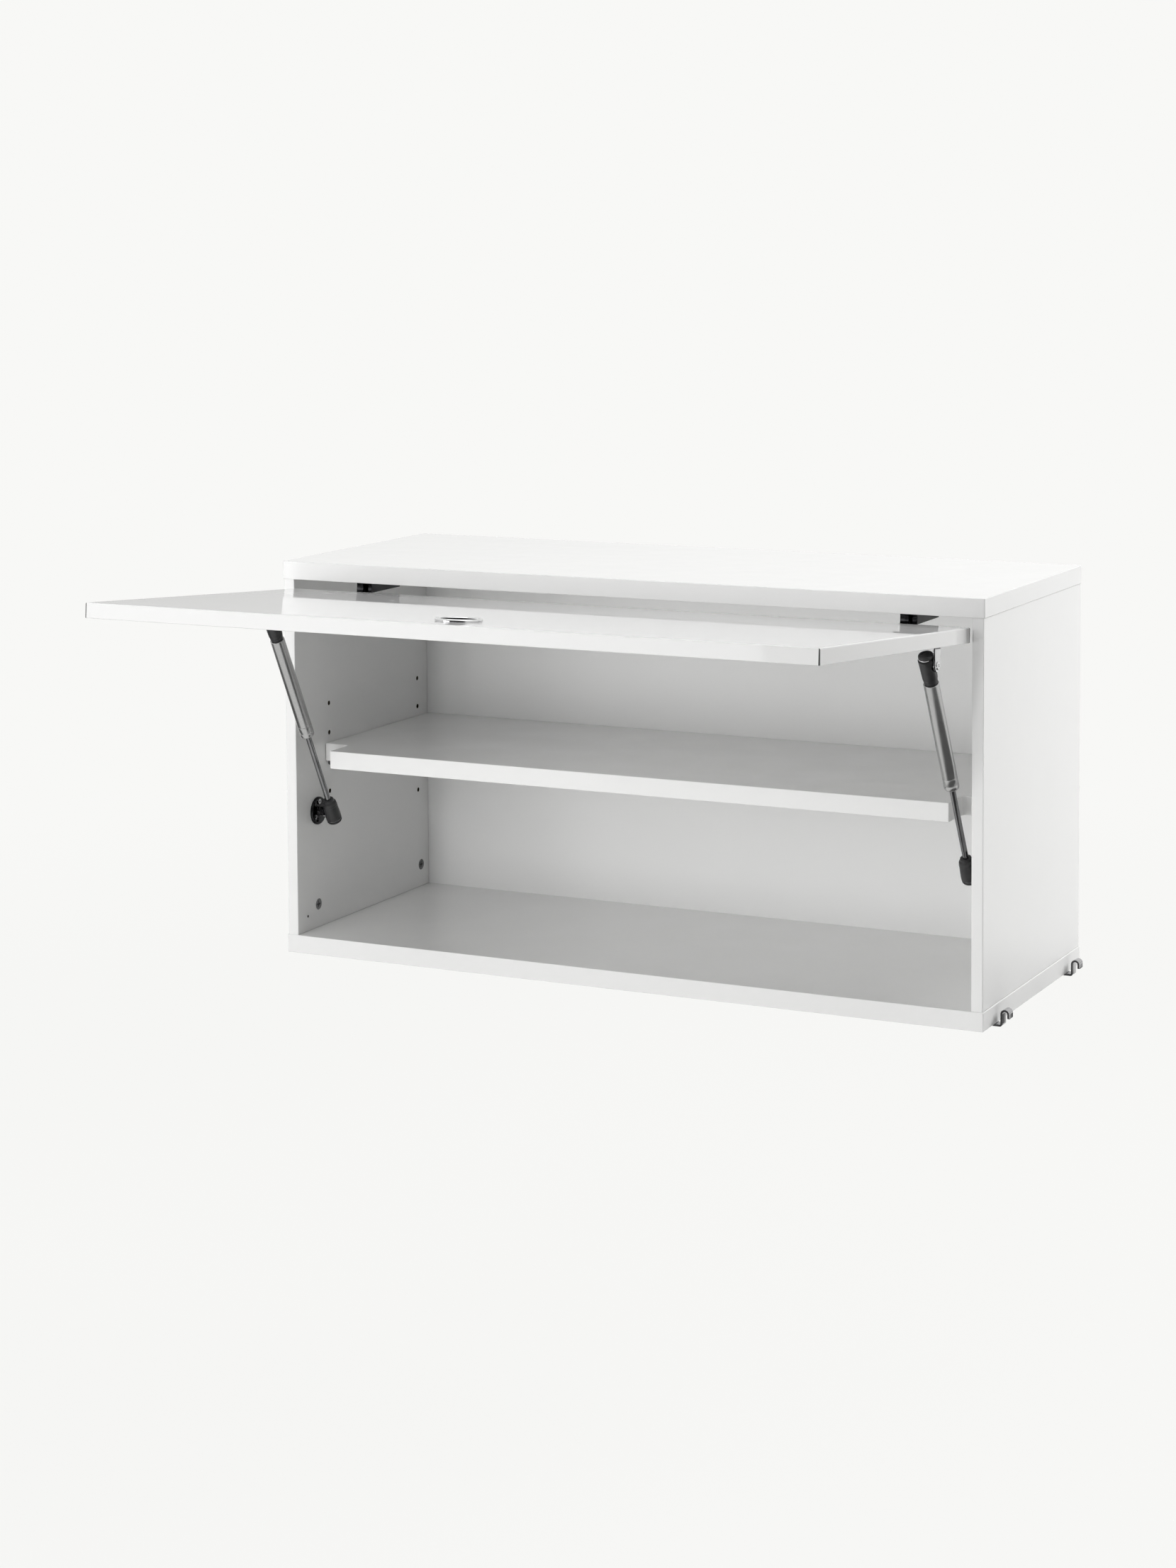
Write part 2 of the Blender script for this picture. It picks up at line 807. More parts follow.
class Finish(Enum):
    """Every finish on the cabinet, with the record's material slot that it belongs to."""

    LACQUER = ("white_lacquer", Lacquer("white_lacquer", *WHITE, (0.14, 0.24)))
    FLAP_LACQUER = ("white_lacquer", EdgeBanded(
        "flap_lacquer", *WHITE, (0.015, 0.04), depth_mm=0.001))
    BORED_LACQUER = ("white_lacquer", Bored("side_lacquer", *WHITE, (0.14, 0.24)))
    BACK = ("back_board", Lacquer(
        "back_board", (0.92, 0.92, 0.915), (0.9, 0.9, 0.895), (0.32, 0.42),
        grain=Pattern(700.0, 2.0), depth_mm=0.012))
    WOOD = ("raw_wood", Timber("raw_wood", (0.72, 0.55, 0.36), (0.56, 0.38, 0.21), (0.5, 0.75)))
    DARK_STEEL = ("dark_steel", Plated(
        "dark_steel", (0.24, 0.24, 0.245), (0.15, 0.15, 0.15), (0.26, 0.44), depth_mm=0.01))
    ZINC = ("zinc_steel", Plated(
        "zinc_steel", (0.44, 0.44, 0.45), (0.33, 0.33, 0.34), (0.16, 0.28),
        haze=DRAWN, grain=DRAWN, depth_mm=0.006))
    HOOK_ZINC = ("zinc_steel", Sheared(
        "hook_zinc", (0.5, 0.5, 0.51), (0.38, 0.38, 0.39), (0.1, 0.2),
        haze=DRAWN, grain=DRAWN, depth_mm=0.004))
    NICKEL = ("black_nickel", Plated(
        "black_nickel", (0.04, 0.04, 0.042), (0.022, 0.022, 0.024), (0.06, 0.16), depth_mm=0.003))
    ROD = ("chrome_plate", Plated(
        "polished_rod", (0.26, 0.26, 0.265), (0.2, 0.2, 0.205), (0.08, 0.16)))
    CHROME = ("chrome_plate", Plated("chrome_plate", *BRIGHT, (0.04, 0.12), depth_mm=0.0015))
    BRACKET_CHROME = ("chrome_plate", Sheared(
        "bracket_chrome", (0.7, 0.7, 0.71), (0.6, 0.6, 0.61), (0.08, 0.18), depth_mm=0.0015,
        along="X", places=(0.0, 370.0), ramp=(0.9, 0.7)))
    PULL_CHROME = ("chrome_plate", Bezel("pull_chrome", *BRIGHT, (0.04, 0.12), depth_mm=0.0015))
    TUBE = ("satin_grey_paint", Sprayed(
        "satin_grey_paint", (0.54, 0.54, 0.54), (0.40, 0.40, 0.40), (0.17, 0.26)))
    PLASTIC = ("black_plastic", Moulded(
        "black_plastic", (0.018, 0.018, 0.019), (0.03, 0.03, 0.031), (0.3, 0.44)))
    PISTON = ("piston_alloy", Plated(
        "piston_alloy", (0.62, 0.60, 0.52), (0.5, 0.48, 0.42), (0.3, 0.45)))

    @property
    def slot(self) -> str:
        """The record's slot."""
        return self.value[0]


# ------------------------------------------------------------------ pieces


@contextmanager
def merged(mesh: bpy.types.Mesh) -> Iterator[bmesh.types.BMesh]:
    """Opens a mesh with its doubles merged, and writes back what is done to it."""
    work = bmesh.new()
    work.from_mesh(mesh)
    bmesh.ops.remove_doubles(work, verts=work.verts, dist=MERGE)
    yield work
    work.to_mesh(mesh)
    work.free()


@dataclass
class Workshop:
    """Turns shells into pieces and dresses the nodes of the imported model.

    Attributes:
        materials: The material of each finish that has been used.
        sharp: Angle from which on an edge stays sharp in the shading.
        flat: Angle below which two faces of a node are one.
        eased_from: Angle from which on a node's edge is eased.
    """

    materials: dict[Finish, bpy.types.Material] = field(default_factory=dict)
    sharp: float = math.radians(32.0)
    flat: float = math.radians(0.5)
    eased_from: float = math.radians(40.0)

    def coat(self, piece: bpy.types.Object, finish: Finish) -> None:
        """Gives an object a finish, whose material is made when it is first used."""
        if finish not in self.materials:
            self.materials[finish] = finish.value[1].made()
        piece.data.materials.clear()
        piece.data.materials.append(self.materials[finish])

    def shade(self, mesh: bpy.types.Mesh) -> None:
        """Makes a mesh smooth except over its sharp edges."""
        mesh.shade_smooth()
        mesh.set_sharp_from_angle(angle=self.sharp)

    def piece(
        self,
        name: str,
        shell: Shell,
        finish: Finish,
        body: str,
        replaced: tuple[str, ...] = (),
    ) -> None:
        """Makes one piece.

        A shell with exact normals keeps them. Any other one has its doubles merged and its
        normals recalculated, and is smooth except over edges sharper than the limit.

        Args:
            name: Name of the piece.
            shell: Its surface, in millimetres.
            finish: Its finish.
            body: The body that it rides on.
            replaced: Nodes that it stands for.
        """
        mesh = bpy.data.meshes.new(name)
        mesh.from_pydata(shell.points / METRE, [], shell.faces)
        if shell.normals is None:
            with merged(mesh) as work:
                bmesh.ops.dissolve_degenerate(work, edges=work.edges, dist=COLLAPSED)
                bmesh.ops.recalc_face_normals(work, faces=work.faces)
            self.shade(mesh)
        else:
            mesh.shade_smooth()
            mesh.normals_split_custom_set_from_vertices(shell.normals)
        self.fitted(bpy.data.objects.new(name, mesh), finish, body, replaced)

    def fitted(
        self, piece: bpy.types.Object, finish: Finish, body: str, replaced: tuple[str, ...]
    ) -> None:
        """Links a new object, coats it and lets it ride on its body.

        Args:
            piece: The object.
            finish: Its finish.
            body: The body that it rides on.
            replaced: Nodes that it stands for.
        """
        bpy.context.scene.collection.objects.link(piece)
        self.coat(piece, finish)
        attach(piece, body)
        if replaced:
            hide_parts(*replaced)
        LOG.info("%s on %s, %d faces", piece.name, body, len(piece.data.polygons))

    def eased(self, node: str, finish: Finish, ease_mm: float, shortest_mm: float) -> None:
        """Replaces a node by a merged copy whose long sharp edges are eased.

        Normals are weighted by area, so that the flats stay flat beside the rounded edges.

        Args:
            node: The node.
            finish: The copy's finish.
            ease_mm: Width of the eased edges.
            shortest_mm: Edges shorter than this stay sharp.
        """
        mesh = frame["nodes"][node].data.copy()
        with merged(mesh) as work:
            bmesh.ops.dissolve_limit(
                work, angle_limit=self.flat, verts=work.verts, edges=work.edges)
            chosen = [
                e for e in work.edges
                if len(e.link_faces) == 2 and e.calc_face_angle(0.0) > self.eased_from
                and e.is_convex and e.calc_length() * METRE >= shortest_mm]
            bmesh.ops.bevel(
                work, geom=chosen, offset=ease_mm / METRE, segments=3, profile=0.5,
                affect="EDGES", clamp_overlap=False)
        self.shade(mesh)
        piece = bpy.data.objects.new(node + "_eased", mesh)
        flats = piece.modifiers.new("flats", "WEIGHTED_NORMAL")
        flats.mode, flats.weight, flats.keep_sharp = "FACE_AREA", 100, True
        body = frame["nodes"][node]["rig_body"]
        self.fitted(piece, finish, body, (node,))

    def dress(self, finish: Finish, *nodes: str) -> None:
        """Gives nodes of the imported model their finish; their shapes stay as they are."""
        for name in nodes:
            node = frame["nodes"][name]
            self.coat(node, finish)
            node.modifiers.new("weld", "WELD").merge_threshold = MERGE
            LOG.info("%s dressed in %s", name, finish.name)


@dataclass(frozen=True)
class Cabinet:
    """The carcass's main sizes, and the places of fittings that more than one class draws."""

    width: float = 784.0
    depth: float = 300.0
    height: float = 420.0
    board: float = 19.0
    side: float = 12.0
    overhang: float = 1.0
    corner: float = 1.2
    edge: float = 0.8
    door_back: float = -284.0
    hook_lines: Pair = (-260.0, -40.0)
    hook_sheet: float = 2.0
    bracket_level: float = 328.0
    bracket_sheet: float = 2.0
    plate_centre: Pair = (-257.0, 146.0)
    plate_thick: float = 3.0
    plate_ring: float = 10.2

    @property
    def side_in(self) -> float:
        """Distance from the middle to the inner face of a side panel."""
        return self.width / 2 - self.overhang - self.side

    @property
    def ceiling(self) -> float:
        """Height of the top panel's underside."""
        return self.height - self.board

    def plate_screws(self, centre: Pair) -> list[Pair]:
        """The three screws round a wall plate's centre."""
        return arc(centre, self.plate_ring, 90.0, 330.0, 3)


@dataclass(frozen=True)
class FlapAxis:
    """The axis that the flap turns about, and how far it stands open."""

    y: float = -302.0
    z: float = 394.8
    opening: float = 94.5

    def open(self, shell: Shell) -> Shell:
        """Swings what is drawn for the closed flap to the open flap."""
        centre = np.array([0.0, self.y, self.z])
        return shell.moved(-centre).turned(rotation_x(-self.opening)).moved(centre)


@dataclass
class Assembly:
    """What every sub-assembly has.

    Attributes:
        shop: Makes its pieces.
        sizes: The cabinet's sizes.
        axis: The flap's axis.
    """

    shop: Workshop
    sizes: Cabinet = Cabinet()
    axis: FlapAxis = FlapAxis()


@dataclass
class Carcass(Assembly):
    """Boards, shelf, back, rail and corner fittings."""

    shelf_level: float = 197.5
    shelf_front: float = -280.0
    shelf_play: float = 0.5
    shelf_corner: float = 1.0
    notch_wide: float = 30.0
    notch_deep: float = 40.0
    notch_corner: float = 5.0
    back_face: float = -16.5
    side_ease: float = 0.8
    side_shortest: float = 100.0

    def board_outline(self) -> Outline:
        """Outline of the top and bottom panels."""
        c = self.sizes
        x, r = c.width / 2, c.corner
        return Outline(((-x, -c.depth, r), (x, -c.depth, r), (x, 0.0, r), (-x, 0.0, r)))

    def shelf_outline(self) -> Outline:
        """Outline of the shelf with a notch in each front corner."""
        x = self.sizes.side_in - self.shelf_play
        notch = self.sizes.side_in - self.notch_wide
        y, rear, deep = self.shelf_front, self.back_face, self.shelf_front + self.notch_deep
        r, big = self.shelf_corner, self.notch_corner
        return Outline((
            (-notch, y, r), (notch, y, r), (notch, deep, big), (x, deep, r),
            (x, rear, r), (-x, rear, r), (-x, deep, r), (-notch, deep, big),
        ))

    def build(self) -> None:
        """Makes the boards and dresses the rest."""
        c, shop = self.sizes, self.shop
        for name, outline, low, node in (
            ("top_board", self.board_outline(), c.ceiling, "top_panel"),
            ("bottom_board", self.board_outline(), 0.0, "bottom_panel"),
            ("shelf_board", self.shelf_outline(), self.shelf_level, "shelf"),
        ):
            board = slab(outline, low, low + c.board, c.edge)
            shop.piece(name, board, Finish.LACQUER, "carcass", (node,))
        for side in Side:
            shop.eased("side_panel_" + side.word, Finish.BORED_LACQUER, self.side_ease,
                       self.side_shortest)
        shop.dress(Finish.BACK, "back_panel")
        shop.dress(Finish.WOOD, "hanging_rail", "wood_dowels")
        shop.dress(Finish.ZINC, "cam_bolts")


@dataclass
class Flap(Assembly):
    """The flap door with its ring pull."""

    thick: float = 15.0
    gap_end: float = 3.0
    edge: float = 0.6
    shortest: float = 100.0
    ring_in: float = 50.0
    finger: float = 34.0
    ring: float = 44.0
    ring_foot: float = 0.3
    ring_rim: float = 1.45
    sleeve: float = 1.8
    rise: float = 3.0

    def pull(self) -> Shell:
        """Ring and sleeve of the pull, with a rounded rim, about the hole's axis."""
        inner, outer, rim, foot = self.finger / 2, self.ring / 2, self.ring_rim, self.ring_foot
        sleeve, top = inner + self.sleeve, self.rise - self.ring_rim
        profile = [(inner, -self.thick), (sleeve, -self.thick), (sleeve, 0.0),
                   (outer - foot, 0.0), (outer, foot)]
        profile += arc((outer - rim, top), rim, 0.0, 90.0, 9)
        profile += arc((inner + rim, top), rim, 90.0, 180.0, 9)
        profile += [(inner, -self.thick)]
        return lathe(profile, 96)

    def build(self) -> None:
        """Makes the door and its pull."""
        c = self.sizes
        self.shop.eased("flap_door", Finish.FLAP_LACQUER, self.edge, self.shortest)
        place = (0.0, c.overhang - c.depth, c.board + self.gap_end + self.ring_in)
        pull = self.pull().turned(TO_FRONT).moved(place)
        self.shop.piece("ring_pull", self.axis.open(pull), Finish.PULL_CHROME, "flap",
                        ("pull_ring",))
        self.shop.dress(Finish.CHROME, "pull_backing_ring")


@dataclass(frozen=True)
class Screw:
    """A cross-head screw along Z, with the top of its head at the origin, looking up.

    Attributes:
        head: Radius of the head.
        rise: Height of the head.
        shank: Radius of the shank.
        long: Length of the shank under the head.
        sunk: Whether the head is a cone that sits in the sheet.
        dome: How far the head's rim lies below its middle.
        edge: Radius of the head's edge.
        lip: Height of a sunk head's rim.
        cross: Reach and width of the recess as shares of the head's radius, and its depth as a
            share of the head's height.
    """

    head: float
    rise: float
    shank: float
    long: float
    sunk: bool = False
    dome: float = 0.35
    edge: float = 0.3
    lip: float = 0.12
    cross: Triple = (0.62, 0.34, 0.45)

    def face(self, x: np.ndarray, y: np.ndarray) -> np.ndarray:
        """Top of the head: -dome (r / head)^2, less the recess of the cross."""
        reach, wide, deep = self.cross
        recess = cross_cut(x, y, self.head * reach, wide * self.head)
        return -self.dome * (np.hypot(x, y) / self.head) ** 2 - deep * self.rise * recess

    def shell(self) -> Shell:
        """The whole screw."""
        tip, start, reach = -self.rise - self.long, -self.dome, self.head
        if self.sunk:
            rest = [(self.head, start - self.lip), (self.shank, -self.rise)]
        else:
            reach -= self.edge / 2
            rest = arc((self.head - self.edge, start - self.edge), self.edge, 60.0, 0.0, 4)
            rest += [(self.head, -self.rise), (self.shank, -self.rise)]
        rest += [(self.shank, tip + self.shank), (0.0, tip)]
        return relief(reach, self.face, rest)


@dataclass
class Fasteners(Assembly):
    """Every screw, cam and pin that holds the cabinet together."""

    hook_screw_x: Pair = (365.0, 379.0)
    hinge_x: float = 306.0
    hinge_line: float = -247.0
    hinge_sheet: float = 2.0
    hinge_screw_out: float = 16.0
    adjust_lines: Pair = (-254.85, -228.85)
    adjust_level: float = 387.4
    cup_screw_out: float = 24.0
    cup_screw_level: float = 369.5
    cup_sheet: float = 1.0
    bracket_screw_x: Pair = (362.0, 349.0)
    proud: float = 0.12
    disc_proud: float = 0.1
    cam_lines: Pair = (-257.0, -34.0)
    cam_in: float = 25.0
    cam_radius: float = 6.0
    cam_edge: float = 0.2
    cam_deep: float = 9.8
    pin_lines: Pair = (-231.0, -39.0)
    pin_level: float = 195.0

    def cam(self) -> Shell:
        """Cam lock, its face up: a rim, a cross-shaped recess and a mark at the rim."""

        def face(x: np.ndarray, y: np.ndarray) -> np.ndarray:
            """Face sunk by 0.25 inside the rim, the cross 1.8 deep, a wedge mark 0.3 deep."""
            sunk = 0.25 * smooth(np.hypot(x, y), 5.3, 5.0)
            mark = 0.3 * smooth(np.abs(y), 0.7, 0.45) * smooth(x, 3.9, 4.1) * smooth(x, 5.0, 4.8)
            return -sunk - mark - 1.8 * cross_cut(x, y, 3.5, 1.7)

        r, edge, low = self.cam_radius, self.cam_edge, -self.cam_deep
        return relief(r - edge, face, [(r, -edge), (r, low), (0.0, low)], 34)

    def build(self) -> None:
        """Makes one piece of each kind, from what stands at the right end and its mirror image."""
        c = self.sizes
        hook = Screw(4.0, 2.2, 2.0, 12.5, dome=0.8)
        small = Screw(3.4, 2.0, 1.75, 10.0)
        adjust = Screw(3.0, 1.6, 2.9, 3.9, dome=0.1)
        disc = Screw(2.75, 1.4, 1.5, 8.5, sunk=True, dome=0.12)
        cup = Screw(3.4, 1.6, 1.75, 11.5)
        sunk = Screw(3.35, 1.8, 1.75, 10.5, sunk=True, dome=0.15)
        pin = lathe([(0.0, -8.0), (2.1, -8.0), (2.5, -7.6), (2.5, 0.0), (3.4, 0.0), (3.4, 0.3),
                     (3.25, 0.45), (2.5, 0.45), (2.5, 7.2), (1.7, 8.0), (0.0, 8.0)], 48)
        cam_levels = (c.board + self.cam_in, c.ceiling - self.cam_in)
        for node, shell, turn, finish, body, places in (
            ("hook_screws", hook.shell(), TO_FLOOR, Finish.ZINC, "carcass", [
                (x, y, -c.hook_sheet - hook.rise)
                for x in self.hook_screw_x for y in c.hook_lines]),
            ("hinge_plate_screws", small.shell(), TO_FLOOR, Finish.ZINC, "carcass", [
                (self.hinge_x + d, self.hinge_line, c.ceiling - self.hinge_sheet - small.rise)
                for d in (-self.hinge_screw_out, self.hinge_screw_out)]),
            ("hinge_adjust_screws", adjust.shell(), TO_FLOOR, Finish.ZINC, "carcass", [
                (self.hinge_x, y, self.adjust_level) for y in self.adjust_lines]),
            ("wall_plate_screws", disc.shell(), TO_LEFT, Finish.ZINC, "carcass", [
                (c.side_in - c.plate_thick - self.disc_proud, y, z)
                for y, z in c.plate_screws(c.plate_centre)]),
            ("hinge_cup_screws", cup.shell(), TO_REAR, Finish.ZINC, "flap", [
                (self.hinge_x + d, c.door_back + self.cup_sheet + cup.rise, self.cup_screw_level)
                for d in (-self.cup_screw_out, self.cup_screw_out)]),
            ("flap_bracket_screws", sunk.shell(), TO_REAR, Finish.ZINC, "flap", [
                (x, c.door_back + c.bracket_sheet + self.proud, c.bracket_level)
                for x in self.bracket_screw_x]),
            ("cam_locks", self.cam(), TO_LEFT, Finish.DARK_STEEL, "carcass", [
                (c.side_in, y, z) for y in self.cam_lines for z in cam_levels]),
            ("shelf_pins", pin, TO_LEFT, Finish.DARK_STEEL, "carcass", [
                (c.side_in, y, self.pin_level) for y in self.pin_lines]),
        ):
            right = [shell.turned(turn).moved(place) for place in places]
            both = joined([one.on(side) for side in Side for one in right])
            both = self.axis.open(both) if body == "flap" else both
            self.shop.piece(node + "_fine", both, finish, body, (node,))


@dataclass
class Struts(Assembly):
    """Gas struts with their sockets, ball studs, wall plates and flap brackets.

    What belongs to a strut is drawn with a ball at the origin and +Z up the strut.
    """

    x: float = 361.0
    upper: Pair = (-371.419, 364.152)
    length: float = 246.337
    tilt: float = 27.677
    tube: float = 7.5
    wall: float = 1.2
    rod: float = 3.0
    rod_seat: float = 7.0
    stem_up: float = 20.5
    stem_low: float = 17.0
    tube_end: float = -144.5
    collar_top: float = -130.0
    piston_top: float = -118.0
    ball: float = 5.0
    play: float = 0.35
    socket: float = 8.3
    socket_flat: float = 7.3
    socket_tip: float = 12.5
    notch: float = 1.4
    clip_level: float = 8.9
    clip_wire: float = 0.6
    clip_in: float = 1.25
    clip_gap: float = 50.0
    clip_taper: float = 4.6
    plate: float = 15.0
    boss_end: float = 369.6
    bracket_foot: Pair = (345.0, 370.0)
    bracket_half: float = 7.5
    bracket_tip: float = 6.0
    bracket_corner: float = 1.5
    sheet_edge: float = 0.3
    ball_off: float = 18.0

    def placed(self, shell: Shell, from_foot: bool = False) -> Shell:
        """Takes what is drawn at the upper or the lower ball to its place at the right end."""
        drop = -self.length if from_foot else 0.0
        return shell.moved((0.0, 0.0, drop)).turned(rotation_x(self.tilt)).moved(
            (self.x, *self.upper))

    def tube_shell(self) -> Shell:
        """Tube with rolled ends, hollow below its plug, with the threaded stud above it."""
        r, inner, top, low = self.tube, self.tube - self.wall, -self.stem_up, self.collar_top
        profile = [(0.0, top - 4.0), (inner, top - 4.0), (inner, low), (r - 0.3, low)]
        profile += arc((r - 0.3, low + 0.3), 0.3, -60.0, 0.0, 4)
        profile += arc((r - 0.5, top - 0.5), 0.5, 0.0, 120.0, 8)
        profile += [(r - 0.95, top - 0.8), (4.0, top - 0.8), (4.0, top + 10.6),
                    (3.6, top + 11.0), (0.0, top + 11.0)]
        return lathe(profile, 96)

    def collar_shell(self) -> Shell:
        """End collar: a fine groove under the tube, a crimped ring and a rounded end."""
        r, low, top = self.tube, self.tube_end, self.collar_top
        bore = self.rod + 0.05
        profile = [(bore, low), (r - 2.0, low)]
        profile += arc((r - 2.0, low + 2.0), 2.0, -80.0, 0.0, 9)
        profile += [(r, low + 5.6), (r - 0.16, low + 5.9), (r - 0.16, low + 6.3), (r, low + 6.6)]
        profile += arc((r - 0.35, top - 0.37), 0.35, 0.0, 80.0, 4)
        profile += [(r - self.wall - 0.05, top - 0.02), (r - self.wall - 0.05, top + 5.0),
                    (bore, top + 5.0), (bore, low)]
        return lathe(profile, 96)

    def rod_shell(self) -> Shell:
        """Polished rod with eased ends."""
        low, high, r = -self.length + self.rod_seat, self.piston_top, self.rod
        return lathe([(0.0, low), (r - 0.3, low), (r, low + 0.3), (r, high - 0.3),
                      (r - 0.3, high), (0.0, high)], 64)

    def socket_shell(self, outline: list[Pair]) -> Shell:
        """Ball socket on a stem that points down, open towards +X, where the stud leaves.

        The outline is turned about Z. Where the turned form is wider than the flat, x is the
        soft lesser of both, -k ln(e^(-x/k) + e^(-flat/k)). Round the stud, at a distance d from
        its axis, the face goes back to the cavity -sqrt(R^2 - d^2), and the points up to a band b
        past its rim are drawn in to R + (d - R)^2 / b, which makes the rim even. On the far side
        a square notch shows the wire clip.

        Args:
            outline: Radius and height from the bore's top by the stem's end to the tip.

        Returns:
            A closed shell.
        """
        step, bore, soft, band = 0.42, 4.3, 0.12, 1.1
        corners = np.array(outline, float)
        rows = np.vstack([corners[:1]] + [
            between(first, last, step) for first, last in zip(corners[:-1], corners[1:])])
        x, y, z = np.moveaxis(rings(rows, 132), -1, 0)
        skinned = rows[:, :1] > bore
        x = np.where(skinned, -soft * np.logaddexp(-x / soft, -self.socket_flat / soft), x)
        far, hollow = np.hypot(y, z), self.ball + self.play
        cavity = -np.sqrt(np.maximum(hollow**2 - far**2, 0.0))
        front = skinned & (x > 0.0)
        x = np.where(front & (far < hollow), cavity, x)
        past = np.maximum(far - hollow, 0.0)
        drawn = (hollow + past**2 / band) / np.maximum(far, hollow)
        pull = np.where(front & (past > 0.0) & (past < band), drawn, 1.0)
        window = smooth(np.abs(y), 2.7, 2.3) * smooth(np.abs(z - self.clip_level), 2.1, 1.8)
        x = np.where(skinned & (x < 0.0), x + self.notch * window, x)
        return skin(np.stack([x, y * pull, z * pull], axis=-1))

    def upper_outline(self) -> list[Pair]:
        """Outline of the upper socket: stem with a ring, tapering body, lip, groove and cap."""
        r, end, tip = self.socket, -self.stem_up - 0.7, self.socket_tip
        return [(0.0, -9.4), (4.06, -9.4), (4.06, end), (6.0, end), (6.15, end + 0.2),
                (6.2, end + 3.0), (6.75, end + 3.5), (6.9, end + 4.6), (6.75, end + 4.9),
                (7.0, end + 5.4), (7.15, end + 6.6), (7.35, end + 6.9), (r - 0.15, 5.6),
                (r, 6.0), (r, 6.7), (r - 0.25, 7.0), (r - 0.9, 7.1), (r - 0.95, 7.9),
                (r - 1.9, 8.1), (r - 1.9, 9.6), (r - 1.0, 9.8), (r - 0.9, 10.0),
                (r - 0.95, tip - 1.2), (r - 1.3, tip - 0.5), (r - 1.9, tip - 0.1),
                (r - 2.5, tip), (r - 4.0, tip), (4.25, tip - 0.5), (0.0, tip - 0.5)]

    def lower_outline(self) -> list[Pair]:
        """Outline of the lower socket: slim collar, shoulder, ridge, body, groove and cap."""
        r, end, tip = self.socket, -self.stem_low, self.socket_tip
        return [(0.0, -self.rod_seat + 0.1), (self.rod + 0.06, -self.rod_seat + 0.1),
                (self.rod + 0.06, end), (5.1, end), (5.6, end + 0.4), (5.75, end + 2.6),
                (6.3, end + 3.2), (7.2, end + 3.9), (7.6, end + 5.0), (7.75, end + 7.2),
                (7.95, end + 7.5), (7.95, end + 8.1), (7.75, end + 8.4), (r - 0.1, 0.0),
                (r, 4.0), (r, 7.9), (r - 0.2, 8.1), (r - 1.9, 8.2), (r - 1.9, 9.6),
                (r - 0.5, 9.7), (r - 0.3, 9.9), (r - 0.4, tip - 1.6), (r - 0.9, tip - 0.7),
                (r - 1.9, tip - 0.1), (r - 3.0, tip), (4.4, tip), (0.0, tip)]

    def clip_shell(self) -> Shell:
        """Wire clip in the socket's groove, its rounded ends on both sides of the stud."""
        reach, wire = self.socket - self.clip_in, self.clip_wire
        start, full = self.clip_gap, self.clip_gap + self.clip_taper
        a = np.radians(np.concatenate([
            np.linspace(start, full, 6)[:-1], np.linspace(full, 360.0 - full, 60),
            np.linspace(360.0 - full, 360.0 - start, 6)[1:]]))
        out = np.stack([np.cos(a), np.sin(a), 0.0 * a], axis=1)
        left = np.clip(1.0 - reach * np.minimum(a - a[0], a[-1] - a) / wire, 0.0, 1.0)
        girth = wire * np.sqrt(np.maximum(1.0 - left**2, 0.0))
        turn = np.linspace(0.0, FULL_TURN, 12, endpoint=False)[:, None]
        section = np.cos(turn) * out[:, None, :] + np.sin(turn) * np.array([0.0, 0.0, 1.0])
        wound = skin(reach * out[:, None, :] + girth[:, None, None] * section)
        return wound.moved((0.0, 0.0, self.clip_level))

    def stud_shell(self) -> Shell:
        """Upper ball stud along +Z: ball, neck with a shoulder, and a hollow rivet head."""
        leg = self.bracket_foot[1] - self.sizes.bracket_sheet / 2 - self.x
        profile = arc((0.0, 0.0), self.ball, -90.0, 53.0, 24)
        profile += [(3.0, leg - 0.9), (4.1, leg - 0.7), (4.1, leg), (2.45, leg), (2.45, leg + 2.0),
                    (3.7, leg + 2.0), (4.0, leg + 2.3), (3.95, leg + 2.8), (3.4, leg + 3.3),
                    (2.4, leg + 3.4), (1.8, leg + 3.2), (1.5, leg + 2.4), (0.0, leg + 2.3)]
        return lathe(profile, 64)

    def plate_shell(self) -> Shell:
        """Wall plate, its face up: domed, rolled at the rim, countersunk, with its boss."""
        spots, dome, rim = self.sizes.plate_screws((0.0, 0.0)), 0.3, 1.6

        def face(x: np.ndarray, y: np.ndarray) -> np.ndarray:
            """Dome h (r / R)^2, roll over the rim's width, cones of 45 degrees at the screws."""
            r = np.hypot(x, y)
            roll = np.clip(r - (self.plate - rim), 0.0, rim - 0.05)
            level = -dome * (r / self.plate) ** 2 - (rim - np.sqrt(rim**2 - roll**2))
            for u, v in spots:
                level -= np.clip(2.95 - np.hypot(x - u, y - v), 0.0, 1.4)
            return level

        thick, outer = self.sizes.plate_thick, self.plate - 0.03
        disc = relief(outer, face, [(outer, 0.02 - thick), (0.0, 0.02 - thick)], 72, 144)
        high = self.sizes.side_in - thick - self.boss_end
        boss = lathe([(0.0, -0.6), (6.2, -0.6), (5.9, 0.1), (4.9, 0.7), (4.5, 1.4),
                      (4.5, high - 0.4), (4.1, high), (0.0, high)], 64)
        return joined([disc, boss])

